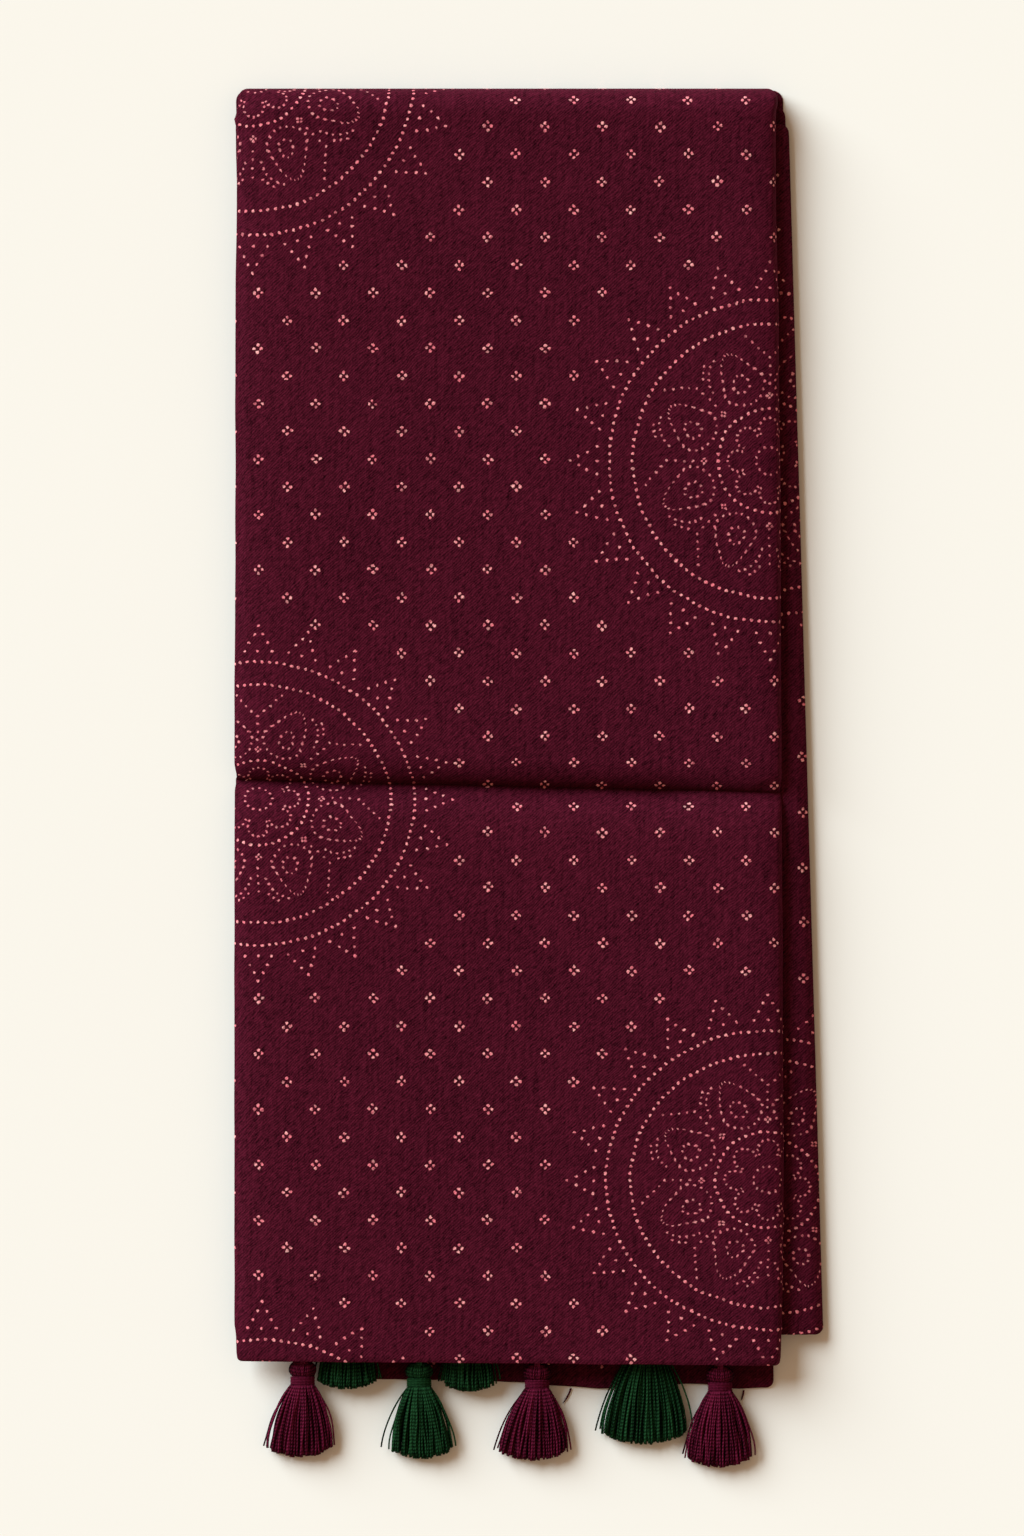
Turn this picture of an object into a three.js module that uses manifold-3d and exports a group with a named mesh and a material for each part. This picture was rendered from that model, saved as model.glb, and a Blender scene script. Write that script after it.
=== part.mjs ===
// A saree folded for the shelf. Millimetres, +Z up, the pallu's tassels towards -Y.
// The origin is on the surface under the middle of the folded pack.

import * as THREE from 'three';
import { mergeVertices } from 'three/addons/utils/BufferGeometryUtils.js';
import Module from 'manifold-3d';

const wasm = await Module();
wasm.setup();

// The cloth, and the leaf that its folds give: in four across, in eight along.
const clothLength = 5500;
const clothWidth = 1170;
const leafWidth = clothWidth / 4;
const rollTakeUp = 2.5;
const leafLength = clothLength / 8 - rollTakeUp;
const wall = 2.6;
const gap = 0.3;

// Levels above the surface that the pack lies on.
const panelTop = 20.2;
const rollDrop = 8;
const rollReach = 7.5;
const backDrop = 17.2;
const backReach = 14;
const rimLevel = panelTop - rollDrop;
const sideBottom = 7.2;
const sideWall = 2.4;

// The top leaf: its edges, and how far each side wanders from a straight line, by distance from the top.
const panelLeft = -157.8;
const panelRight = panelLeft + leafWidth;
const panelBack = 370;
const hemDrawBack = 1.4;
const hemFall = 2.5;
const panelWander = [
  { from: 0, left: 1.6, right: -1.4 },
  { from: 8, left: 1.8, right: -1.0 },
  { from: 13, left: 0.9, right: -1.9 },
  { from: 17, left: -0.5, right: -2.1 },
  { from: 23, left: 1.2, right: -2.1 },
  { from: 60, left: 0.8, right: -2.0 },
  { from: 125, left: 0.1, right: -0.5 },
  { from: 250, left: 0.1, right: 0.6 },
  { from: 366, left: -0.4, right: 1.1 },
  { from: 374, left: 0.7, right: 0.2 },
  { from: 382, left: -0.4, right: 1.1 },
  { from: 480, left: -0.4, right: 1.7 },
  { from: 590, left: -0.5, right: 2.1 },
  { from: 665, left: -0.4, right: 1.3 },
  { from: 671, left: 0.4, right: 0.7 },
  { from: 686, left: 0.6, right: 0.2 },
];
const backCorner = 5.5;
const hemCorner = 3.2;
const hemLip = 0.9;

// The pressed fold line across the top leaf: a valley with a steep back side and a long front side.
const creaseLeft = -2.8;
const creaseFall = 6;
const creaseDepth = 8.5;
const creaseBackShare = 0.8;
const creaseBackReach = 6;
const creaseFrontReach = 12;
const creaseRows = [26, 17, 11, 7, 4, 1.8, 0.5, -0.5, -3, -6, -9.5, -14, -20, -30];

// The valley is shallower where the side leaf lies under it.
const shallowFrom = 72;
const shallowTo = 98;
const shallowShare = 0.38;

// The leaves under it. Each edge is x = left or right less skew times y, so the pack fans out to the right.
const hiddenLeaves = [
  { bottom: 0, top: 2.3, left: -155.2, right: 138.5, back: 369.6, front: -297, skew: 0.005 },
  { bottom: 2.3, top: 4.6, left: -152.5, right: 143, back: 361, front: -298, skew: 0.014 },
  { bottom: 4.6, top: sideBottom - gap, left: -149, right: 147.4, back: 354, front: -298, skew: 0.024 },
  { bottom: sideBottom - gap, top: 9.9, left: -147.7, right: 105.8, back: 350.4, front: -298.5, skew: 0.0285 },
  { bottom: 9.9, top: 12.2, left: -149.5, right: 104, back: 352, front: -299.5, skew: 0.012 },
  { bottom: 12.2, top: 14.8, left: -151.4, right: 127.8, back: 359.5, front: -299.5, skew: 0 },
  { bottom: 14.8, top: 17.3, left: -149.4, right: 125.8, back: 356.6, front: -299.5, skew: 0 },
];
const grooveDepth = 1.2;
const leafCorner = 6;
const lidInset = 1.8;
const notchGap = 0.45;
const notchEnd = 170;

// The leaf that shows along the right side of the pack.
const sideLeaf = { left: 106, right: 149.8, back: 350.7, front: -300.3, skew: 0.0285 };
const sideRise = 2.2;
const sideCorner = 4.5;

// The under fold that shows past the hem, lying on the surface.
const underLevel = 2.5;
const underLeft = -104;
const underRight = 131.5;
const underBack = -300.2;
const underCorner = 4.5;
const underHem = [
  { x: -104, y: -323.2 },
  { x: -78, y: -323.8 },
  { x: -3, y: -325.3 },
  { x: 16, y: -327.3 },
  { x: 38, y: -328.7 },
  { x: 62, y: -328.3 },
  { x: 86, y: -326.3 },
  { x: 99, y: -326.4 },
  { x: 110, y: -328.9 },
  { x: 131.5, y: -328.2 },
];

// Tassels: neck is where the binding's middle is, tip the lowest end, spread the half width of the skirt.
// Each head slopes up from its neck to the hem that it is tied to.
const tasselRows = [
  { x: -121.6, neck: -325.0, tip: -364.6, spread: 18.4, lean: -1.8, lift: 0, rows: 4, yarn: 'maroon' },
  { x: -59.0, neck: -326.0, tip: -365.4, spread: 17.8, lean: 0.9, lift: 0, rows: 4, yarn: 'green' },
  { x: 4.4, neck: -326.8, tip: -366.3, spread: 19.6, lean: -2.4, lift: 0, rows: 4, yarn: 'maroon' },
  { x: 63.2, neck: -304.6, tip: -357.8, spread: 24.0, lean: -1.6, lift: 0, rows: 4, yarn: 'green' },
  { x: 102.7, neck: -328.2, tip: -370, spread: 18.6, lean: -0.7, lift: 0, rows: 4, yarn: 'maroon' },
  { x: -97.6, neck: -293.6, tip: -327.9, spread: 16.4, lean: 0, lift: 2.9, rows: 3, yarn: 'green' },
  { x: -32.2, neck: -294.4, tip: -329.2, spread: 14.8, lean: 0, lift: 2.9, rows: 3, yarn: 'green' },
];
const strandsInRow = 9;
const strandRoot = 0.6;
const strandEnd = 1.05;
const neckLevel = 8;
const headSlope = 0.4;
const headRings = [
  { from: -11.4, across: 2.2, high: 1.4 },
  { from: -10.4, across: 5.3, high: 3.2 },
  { from: -7.4, across: 7.3, high: 4.6 },
  { from: -4.6, across: 6.7, high: 4.3 },
  { from: -3.0, across: 5.6, high: 3.6 },
  { from: -2.6, across: 6.4, high: 4.2 },
  { from: 2.4, across: 6.4, high: 4.2 },
  { from: 3.0, across: 5.6, high: 3.7 },
];
const headSides = 14;

// Places in the under leaves where the hidden tassel heads lie.
const bayHalf = 9;
const bayFlank = 5;
const bays = [
  { x: -97.6, depth: 18 },
  { x: -32.2, depth: 18 },
  { x: 63.2, depth: 18 },
];

const clothFinish = { color: 0x44111f, roughness: 0.82, metalness: 0 };
const yarnFinish = {
  maroon: { color: 0x4e1026, roughness: 0.75, metalness: 0 },
  green: { color: 0x12381f, roughness: 0.75, metalness: 0 },
};

const degrees = Math.PI / 180;

// The value of one column of a table, run smoothly between the rows on either side.
function along(table, key, column, at) {
  const last = table.length - 1;
  if (at <= table[0][key]) return table[0][column];
  if (at >= table[last][key]) return table[last][column];
  const next = table.findIndex((row) => row[key] > at);
  const a = table[next - 1];
  const b = table[next];
  const share = THREE.MathUtils.smoothstep(at, a[key], b[key]);
  return THREE.MathUtils.lerp(a[column], b[column], share);
}

function geometryOf(points, faces) {
  const geometry = new THREE.BufferGeometry();
  const numbers = points.flatMap((p) => [p.x, p.y, p.z]);
  geometry.setAttribute('position', new THREE.Float32BufferAttribute(numbers, 3));
  geometry.setIndex(faces);
  geometry.computeVertexNormals();
  return geometry;
}

// A closed body through rings of equal count, each anticlockwise seen from the last ring's side.
function throughRings(rings) {
  const count = rings[0].length;
  const points = rings.flat();
  const faces = [];
  for (let r = 0; r + 1 < rings.length; r += 1) {
    for (let i = 0; i < count; i += 1) {
      const a = r * count + i;
      const b = r * count + ((i + 1) % count);
      faces.push(a, b, b + count, a, b + count, a + count);
    }
  }
  return { points, faces, count };
}

// Rings that lie flat, one above the other, closed by a face at the bottom and one at the top.
function flatStack(rings) {
  const { points, faces, count } = throughRings(rings);
  const lid = (ring) => THREE.ShapeUtils.triangulateShape(ring.map((p) => new THREE.Vector2(p.x, p.y)), []);
  const roof = (rings.length - 1) * count;
  for (const [a, b, c] of lid(rings[0])) faces.push(a, c, b);
  for (const [a, b, c] of lid(rings[rings.length - 1])) faces.push(roof + a, roof + b, roof + c);
  return geometryOf(points, faces);
}

function arc(x, y, radius, start, steps) {
  const points = [];
  for (let i = 0; i <= steps; i += 1) {
    const turn = (start + (90 * i) / steps) * degrees;
    points.push({ x: x + radius * Math.cos(turn), y: y + radius * Math.sin(turn) });
  }
  return points;
}

function bayDepth(x) {
  let depth = 0;
  for (const bay of bays) {
    const off = Math.abs(x - bay.x);
    depth = Math.max(depth, bay.depth * (1 - THREE.MathUtils.smoothstep(off, bayHalf, bayHalf + bayFlank)));
  }
  return depth;
}

// Places along a leaf's front edge, from corner to corner, with the same count for every leaf.
function frontStations(start, end) {
  const stops = [start];
  for (const bay of bays) {
    stops.push(bay.x - bayHalf - bayFlank, bay.x - bayHalf, bay.x + bayHalf, bay.x + bayHalf + bayFlank);
  }
  stops.push(end);
  const stations = [];
  for (let i = 0; i + 1 < stops.length; i += 1) {
    const parts = i % 4 === 0 ? 4 : 2;
    for (let k = 0; k < parts; k += 1) {
      stations.push(THREE.MathUtils.lerp(stops[i], stops[i + 1], k / parts));
    }
  }
  stations.push(end);
  return stations;
}

function leafRing(leaf, inset, level) {
  const front = leaf.front + inset;
  const back = leaf.back - inset;
  const left = (y) => leaf.left - leaf.skew * y + inset;
  const right = (y) => leaf.right - leaf.skew * y - inset;
  const r = leafCorner;
  const ring = frontStations(left(front) + r, right(front) - r).map((x) => ({ x, y: front + bayDepth(x) }));
  ring.push(...arc(right(front) - r, front + r, r, -90, 3).slice(1));
  ring.push(...arc(right(back) - r, back - r, r, 0, 3));
  ring.push(...arc(left(back) + r, back - r, r, 90, 3));
  ring.push(...arc(left(front) + r, front + r, r, 180, 3).slice(0, -1));
  return ring.map((p) => new THREE.Vector3(p.x, p.y, level));
}

// What the valley of the top leaf's crease takes out of the leaves under it.
function creaseNotch() {
  const rows = creaseRows.map((off) => ({ off }));
  const columns = [-notchEnd, 0, shallowFrom + 4, shallowTo + 4, notchEnd].map((x) => ({ x }));
  return betweenFaces(rows, columns, (row, column, face) => {
    const floor = panelTop - wall - notchGap - creaseDrop(column.x, row.off);
    const level = face === 'outer' ? panelTop : floor;
    return new THREE.Vector3(column.x, creaseAt(column.x) + row.off, level);
  });
}

// The hidden leaves as one body, with a groove where two leaves' folded edges meet.
function hiddenLayers() {
  const rings = [];
  for (const leaf of hiddenLeaves) {
    const middle = (leaf.bottom + leaf.top) / 2;
    const swell = (leaf.top - leaf.bottom) / 5;
    const topInset = leaf.top > rimLevel ? lidInset : grooveDepth;
    rings.push(leafRing(leaf, grooveDepth, leaf.bottom));
    rings.push(leafRing(leaf, 0, middle - swell));
    rings.push(leafRing(leaf, 0, middle + swell));
    rings.push(leafRing(leaf, topInset, leaf.top));
  }
  return fromSolid(solidOf(flatStack(rings)).subtract(solidOf(creaseNotch())));
}

function sideRing(inset, level) {
  const { front, back, skew } = sideLeaf;
  const r = sideCorner;
  const left = (y) => sideLeaf.left - skew * y;
  const right = (y) => sideLeaf.right - skew * y - inset;
  const low = front + inset;
  const high = back - inset;
  const ring = [{ x: left(low), y: low }];
  ring.push(...arc(right(low) - r, low + r + sideRise, r, -90, 3));
  const runs = 8;
  for (let i = 1; i < runs; i += 1) {
    const y = THREE.MathUtils.lerp(low + r + sideRise, high - r, i / runs);
    ring.push({ x: right(y), y });
  }
  ring.push(...arc(right(high) - r, high - r, r, 0, 3));
  ring.push({ x: left(high), y: high });
  return ring.map((p) => new THREE.Vector3(p.x, p.y, level));
}

function sideFold() {
  const top = sideBottom + sideWall;
  return flatStack([
    sideRing(1.0, sideBottom),
    sideRing(0.2, sideBottom + 0.6),
    sideRing(0, sideBottom + sideWall / 2),
    sideRing(0.2, top - 0.6),
    sideRing(1.0, top),
  ]);
}

function underRing(inset, level) {
  const r = underCorner;
  const ring = [];
  const runs = 24;
  const end = underRight - inset - r;
  for (let i = 0; i <= runs; i += 1) {
    const x = THREE.MathUtils.lerp(underLeft + inset, end, i / runs);
    ring.push({ x, y: along(underHem, 'x', 'y', x) + inset });
  }
  const corner = ring[runs].y + r;
  ring.push(...arc(end, corner, r, -90, 3).slice(1));
  ring.push({ x: underRight - inset, y: underBack });
  ring.push({ x: underLeft + inset, y: underBack });
  return ring.map((p) => new THREE.Vector3(p.x, p.y, level));
}

function underFold() {
  return flatStack([
    underRing(0.5, 0),
    underRing(0, 0.7),
    underRing(0, underLevel - 0.8),
    underRing(0.9, underLevel),
  ]);
}

// How far in from a straight edge a rounded corner lies, at a given distance from the corner's end.
function cornerInset(distance, radius) {
  if (distance >= radius) return 0;
  const short = radius - distance;
  return radius - Math.sqrt(radius * radius - short * short);
}

const hemAt = (x) => panelBack - leafLength + hemDrawBack - (hemFall * (x - panelLeft)) / leafWidth;
const creaseAt = (x) => creaseLeft - (creaseFall * (x - panelLeft)) / leafWidth;

// How far the valley falls at a distance from the fold line, off above nought towards the back.
function creaseDrop(x, off) {
  const depth = creaseDepth * (1 - shallowShare * THREE.MathUtils.smoothstep(x, shallowFrom, shallowTo));
  if (off > 0) return creaseBackShare * depth * Math.exp(-off / creaseBackReach);
  return depth * Math.exp(-((-off / creaseFrontReach) ** 1.5));
}

// The rows of the top leaf's grid: share runs from the back edge to the crease, then from it to the hem.
function panelRows() {
  const rows = [];
  for (const turn of [0, 18, 36, 54, 72, 90]) {
    const ease = Math.sin(turn * degrees);
    const reach = 1 - Math.cos(turn * degrees);
    const inner = wall + (backReach - wall) * reach;
    rows.push({ ease, outer: backReach * reach, inner, side: 'back', lip: 0 });
  }
  for (const from of [40, 90, 140, 190, 240, 290, 330]) {
    rows.push({ ease: 1, outer: from, inner: from, side: 'back', lip: 0 });
  }
  for (const off of creaseRows) {
    rows.push({ ease: 1, outer: off, inner: off, side: 'crease', lip: 0 });
  }
  for (const from of [260, 210, 160, 110, 60, 20, 6, 1.2]) {
    rows.push({ ease: 1, outer: from, inner: from, side: 'hem', lip: 0 });
  }
  rows.push({ ease: 1, outer: 0, inner: 0.4, side: 'hem', lip: 1 });
  return rows;
}

function panelColumns() {
  const columns = [];
  const runs = 11;
  for (const turn of [0, 30, 60, 90]) {
    const reach = 1 - Math.cos(turn * degrees);
    const inner = wall + (rollReach - wall) * reach;
    columns.push({ ease: Math.sin(turn * degrees), share: 0, outer: rollReach * reach, inner });
  }
  for (let i = 1; i < runs; i += 1) {
    columns.push({ ease: 1, share: i / runs, outer: rollReach, inner: rollReach });
  }
  const mirrored = columns.slice(0, 4).map((c) => ({ ...c, share: 1 })).reverse();
  return columns.concat(mirrored);
}

function rowY(row, x, face) {
  if (row.side === 'back') return panelBack - row[face];
  if (row.side === 'crease') return creaseAt(x) + row[face];
  return hemAt(x) + row[face];
}

// The soft rise and fall of the leaf's face above its level.
function panelSwell(x, y) {
  return 0.28 * Math.sin(x / 41 + y / 83) + 0.22 * Math.sin(y / 57 - x / 120 + 1.3);
}

function panelPoint(row, column, face) {
  const middle = rowY(row, 0, face);
  const from = panelBack - middle;
  const round = cornerInset(from, backCorner) + cornerInset(middle - hemAt(0), hemCorner);
  const left = panelLeft + along(panelWander, 'from', 'left', from) + round;
  const right = panelRight + along(panelWander, 'from', 'right', from) - round;
  const edge = column[face];
  const x = THREE.MathUtils.lerp(left + edge, right - edge, column.share);
  const y = rowY(row, x, face);
  const less = face === 'inner' ? wall : 0;
  const drop = (backDrop - less) * (1 - row.ease) + (rollDrop - less) * (1 - column.ease) * row.ease;
  const swell = face === 'inner' ? 0 : panelSwell(x, y) - row.lip * hemLip;
  const valley = creaseDrop(x, y - creaseAt(x));
  return new THREE.Vector3(x, y, panelTop - less - drop + (swell - valley) * row.ease * column.ease);
}

// A closed body between an outer and an inner grid of points, rows from the back and columns from the left.
function betweenFaces(rows, columns, pointAt) {
  const wide = columns.length;
  const points = [];
  for (const face of ['outer', 'inner']) {
    for (const row of rows) {
      for (const column of columns) points.push(pointAt(row, column, face));
    }
  }
  const faces = [];
  const under = rows.length * wide;
  for (let r = 0; r + 1 < rows.length; r += 1) {
    for (let c = 0; c + 1 < wide; c += 1) {
      const a = r * wide + c;
      const b = a + wide;
      faces.push(a, b, b + 1, a, b + 1, a + 1);
      faces.push(under + a, under + b + 1, under + b, under + a, under + a + 1, under + b + 1);
    }
  }
  const rim = [];
  for (let c = 0; c < wide; c += 1) rim.push(c);
  for (let r = 1; r < rows.length; r += 1) rim.push(r * wide + wide - 1);
  for (let c = wide - 2; c >= 0; c -= 1) rim.push((rows.length - 1) * wide + c);
  for (let r = rows.length - 2; r > 0; r -= 1) rim.push(r * wide);
  rim.forEach((a, i) => {
    const b = rim[(i + 1) % rim.length];
    faces.push(a, b, under + b, a, under + b, under + a);
  });
  return geometryOf(points, faces);
}

// The top leaf: a wall whose sides roll over the leaves under it, and whose back is the pack's last big fold.
function topPanel() {
  return betweenFaces(panelRows(), panelColumns(), panelPoint);
}

function solidOf(geometry) {
  const bare = geometry.clone();
  bare.deleteAttribute('normal');
  if (bare.hasAttribute('uv')) bare.deleteAttribute('uv');
  const merged = mergeVertices(bare, 1e-4);
  return new wasm.Manifold(new wasm.Mesh({
    numProp: 3,
    vertProperties: merged.getAttribute('position').array,
    triVerts: Uint32Array.from(merged.index.array),
  }));
}

function fromSolid(solid) {
  const mesh = solid.getMesh();
  const geometry = new THREE.BufferGeometry();
  geometry.setAttribute('position', new THREE.BufferAttribute(Float32Array.from(mesh.vertProperties), 3));
  geometry.setIndex(Array.from(mesh.triVerts));
  geometry.computeVertexNormals();
  return geometry;
}

// A closed body through upright rings that follow one another towards -Y.
function lyingBody(rings) {
  const { points, faces, count } = throughRings(rings);
  const end = (rings.length - 1) * count;
  for (let i = 1; i + 1 < count; i += 1) {
    faces.push(0, i + 1, i);
    faces.push(end, end + i, end + i + 1);
  }
  return geometryOf(points, faces);
}

function headBody(tassel) {
  const rings = headRings.map((row) => {
    const ring = [];
    const level = neckLevel - headSlope * row.from;
    for (let i = 0; i < headSides; i += 1) {
      const turn = (-360 * i * degrees) / headSides;
      const x = tassel.x - row.across * Math.cos(turn);
      ring.push(new THREE.Vector3(x, tassel.neck - row.from, level + row.high * Math.sin(turn)));
    }
    return ring;
  });
  return lyingBody(rings);
}

// One lock of the skirt: u is its place across, from -1 to 1, and level its place from bottom to top.
function strandBody(tassel, u, level) {
  const rootFrom = 1.5;
  const start = tassel.neck - rootFrom;
  const rootLevel = neckLevel - headSlope * rootFrom;
  const edgeRise = 0.2 * (tassel.neck - tassel.tip);
  const tip = tassel.tip + edgeRise * u * u;
  const rootHigh = (level - 0.5) * 6;
  const tipHigh = 1.2 + level * 1.45 * (tassel.rows - 1) + tassel.lift;
  const rings = [0, 0.16, 0.45, 1].map((share) => {
    const fan = 1 - (1 - share) ** 1.9;
    const x = tassel.x + u * THREE.MathUtils.lerp(5, tassel.spread, fan) + tassel.lean * share;
    const y = THREE.MathUtils.lerp(start, tip, share);
    const z = THREE.MathUtils.lerp(rootLevel + rootHigh, tipHigh, share ** 1.5);
    const r = THREE.MathUtils.lerp(strandRoot, strandEnd, share);
    return [90, 330, 210].map((turn) => (
      new THREE.Vector3(x - r * Math.cos(turn * degrees), y, z + r * Math.sin(turn * degrees))
    ));
  });
  return lyingBody(rings);
}

function tasselGeometry(tassel) {
  let solid = solidOf(headBody(tassel));
  for (let row = 0; row < tassel.rows; row += 1) {
    const shift = row % 2 === 0 ? 0.25 : -0.25;
    for (let i = 0; i < strandsInRow; i += 1) {
      const u = (2 * (i + 0.5 + shift)) / strandsInRow - 1;
      solid = solid.add(solidOf(strandBody(tassel, u, row / (tassel.rows - 1))));
    }
  }
  return fromSolid(solid);
}

function piece(name, geometry, finish) {
  const mesh = new THREE.Mesh(geometry, new THREE.MeshStandardMaterial(finish));
  mesh.name = name;
  return mesh;
}

const saree = new THREE.Group();
saree.add(piece('top_panel', topPanel(), clothFinish));
saree.add(piece('side_fold', sideFold(), clothFinish));
saree.add(piece('under_fold', underFold(), clothFinish));
saree.add(piece('hidden_layers', hiddenLayers(), clothFinish));
tasselRows.forEach((row, i) => saree.add(piece(`tassel_${i + 1}`, tasselGeometry(row), yarnFinish[row.yarn])));

export default saree;
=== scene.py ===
import math
import random

import bpy
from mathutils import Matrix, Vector, noise


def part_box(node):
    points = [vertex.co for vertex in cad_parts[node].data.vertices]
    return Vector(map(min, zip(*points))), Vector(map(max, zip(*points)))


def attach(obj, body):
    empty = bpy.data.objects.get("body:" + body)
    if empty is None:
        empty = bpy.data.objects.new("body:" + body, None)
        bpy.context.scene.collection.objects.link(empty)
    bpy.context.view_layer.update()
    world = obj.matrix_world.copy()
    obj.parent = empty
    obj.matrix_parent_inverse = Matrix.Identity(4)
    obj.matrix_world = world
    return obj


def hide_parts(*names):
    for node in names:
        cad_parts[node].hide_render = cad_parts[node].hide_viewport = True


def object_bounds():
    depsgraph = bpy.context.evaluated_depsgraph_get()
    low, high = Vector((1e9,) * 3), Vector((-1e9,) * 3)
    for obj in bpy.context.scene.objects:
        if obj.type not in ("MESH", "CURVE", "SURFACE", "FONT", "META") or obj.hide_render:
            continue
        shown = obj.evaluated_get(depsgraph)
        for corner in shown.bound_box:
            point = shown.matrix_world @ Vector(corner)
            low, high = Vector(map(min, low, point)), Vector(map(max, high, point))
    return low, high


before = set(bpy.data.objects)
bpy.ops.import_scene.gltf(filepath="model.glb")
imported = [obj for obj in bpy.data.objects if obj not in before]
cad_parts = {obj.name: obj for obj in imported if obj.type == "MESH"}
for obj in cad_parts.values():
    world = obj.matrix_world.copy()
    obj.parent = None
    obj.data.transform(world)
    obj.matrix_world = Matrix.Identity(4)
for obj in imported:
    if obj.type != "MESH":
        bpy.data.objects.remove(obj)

cadLow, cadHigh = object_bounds()
random.seed(11)
mm = 0.001
print("saree: frame loaded")


# the view
viewSetup = dict(
    tall=0.8244,        # metres of cloth from the top of the picture to its bottom
    centre=(-0.0091, 0.0048),
    height=12.0,        # camera above the cloth
    sensor=36.0,
)


def addCamera(setup):
    data = bpy.data.cameras.new("aboveCamera")
    data.sensor_width = setup["sensor"]
    data.lens = setup["sensor"] * setup["height"] / setup["tall"]
    data.clip_end = 50
    camera = bpy.data.objects.new("aboveCamera", data)
    camera.location = (setup["centre"][0], setup["centre"][1], setup["height"] + cadHigh[2])
    bpy.context.scene.collection.objects.link(camera)
    bpy.context.scene.camera = camera


addCamera(viewSetup)


# small helpers for meshes
def smoothStep(low, high, value):
    share = min(max((value - low) / (high - low), 0), 1)
    return share * share * (3 - 2 * share)


def fromTable(rows, column, at):
    # the value of one column at a place in the first column, run smoothly from row to row
    if at <= rows[0][0]:
        return rows[0][column]
    for low, high in zip(rows, rows[1:]):
        if at <= high[0]:
            share = smoothStep(low[0], high[0], at)
            return low[column] + (high[column] - low[column]) * share
    return rows[-1][column]


def wander(x, y, size, seed):
    # soft unevenness between -1 and 1 that repeats nowhere; size is its wavelength
    return noise.noise(Vector((x / size, y / size, seed * 7.31)))


def addMesh(name, points, faces, uvs=None):
    mesh = bpy.data.meshes.new(name)
    mesh.from_pydata(points, [], faces)
    if uvs:
        layer = mesh.uv_layers.new(name="cloth")
        for loop in mesh.loops:
            layer.data[loop.index].uv = uvs[loop.vertex_index]
    mesh.polygons.foreach_set("use_smooth", [True] * len(mesh.polygons))
    piece = bpy.data.objects.new(name, mesh)
    bpy.context.scene.collection.objects.link(piece)
    return piece


def closeTube(faces, first, rings, count):
    # faces round a row of rings, and one across each end
    for ring in range(rings - 1):
        for i in range(count):
            a = first + ring * count + i
            b = first + ring * count + (i + 1) % count
            faces.append((a, b, b + count, a + count))
    faces.append(tuple(first + i for i in reversed(range(count))))
    faces.append(tuple(first + (rings - 1) * count + i for i in range(count)))


# one number in a material's math nodes, so that they can be written as sums
class Val:
    def __init__(self, tree, socket):
        self.tree = tree
        self.socket = socket

    def __add__(self, other):
        return calc("ADD", self, other)

    def __sub__(self, other):
        return calc("SUBTRACT", self, other)

    def __rsub__(self, other):
        return calc("SUBTRACT", other, self)

    def __mul__(self, other):
        return calc("MULTIPLY", self, other)

    def __truediv__(self, other):
        return calc("DIVIDE", self, other)

    def __rtruediv__(self, other):
        return calc("DIVIDE", other, self)


def calc(operation, *parts):
    tree = next(part.tree for part in parts if isinstance(part, Val))
    node = tree.nodes.new("ShaderNodeMath")
    node.operation = operation
    for socket, part in zip(node.inputs, parts):
        if isinstance(part, Val):
            tree.links.new(part.socket, socket)
        else:
            socket.default_value = part
    return Val(tree, node.outputs[0])


def either(isSecond, first, second):
    return first + (second - first) * isSecond


def distance(a, b):
    return calc("SQRT", a * a + b * b)


def folded(value, pitch):
    # how far a number is from the nearest whole multiple of the pitch
    return value - calc("ROUND", value / pitch) * pitch


def inside(value, edge, soft):
    # 1 well under the edge, 0 well over it
    node = value.tree.nodes.new("ShaderNodeMapRange")
    node.interpolation_type = "SMOOTHSTEP"
    value.tree.links.new(value.socket, node.inputs["Value"])
    node.inputs["From Min"].default_value = edge - soft
    node.inputs["From Max"].default_value = edge + soft
    node.inputs["To Min"].default_value = 1
    node.inputs["To Max"].default_value = 0
    return Val(value.tree, node.outputs["Result"])


def least(*values):
    result = values[0]
    for value in values[1:]:
        result = calc("MINIMUM", result, value)
    return result


def cloud(x, y, scale, detail, third):
    # noise over x and y; gives its grey value and two of its colour channels
    tree = x.tree
    place = tree.nodes.new("ShaderNodeCombineXYZ")
    tree.links.new(x.socket, place.inputs[0])
    tree.links.new(y.socket, place.inputs[1])
    place.inputs[2].default_value = third
    node = tree.nodes.new("ShaderNodeTexNoise")
    node.inputs["Scale"].default_value = scale
    node.inputs["Detail"].default_value = detail
    tree.links.new(place.outputs[0], node.inputs["Vector"])
    split = tree.nodes.new("ShaderNodeSeparateColor")
    tree.links.new(node.outputs["Color"], split.inputs[0])
    return Val(tree, node.outputs[0]), Val(tree, split.outputs[0]), Val(tree, split.outputs[1])


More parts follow.
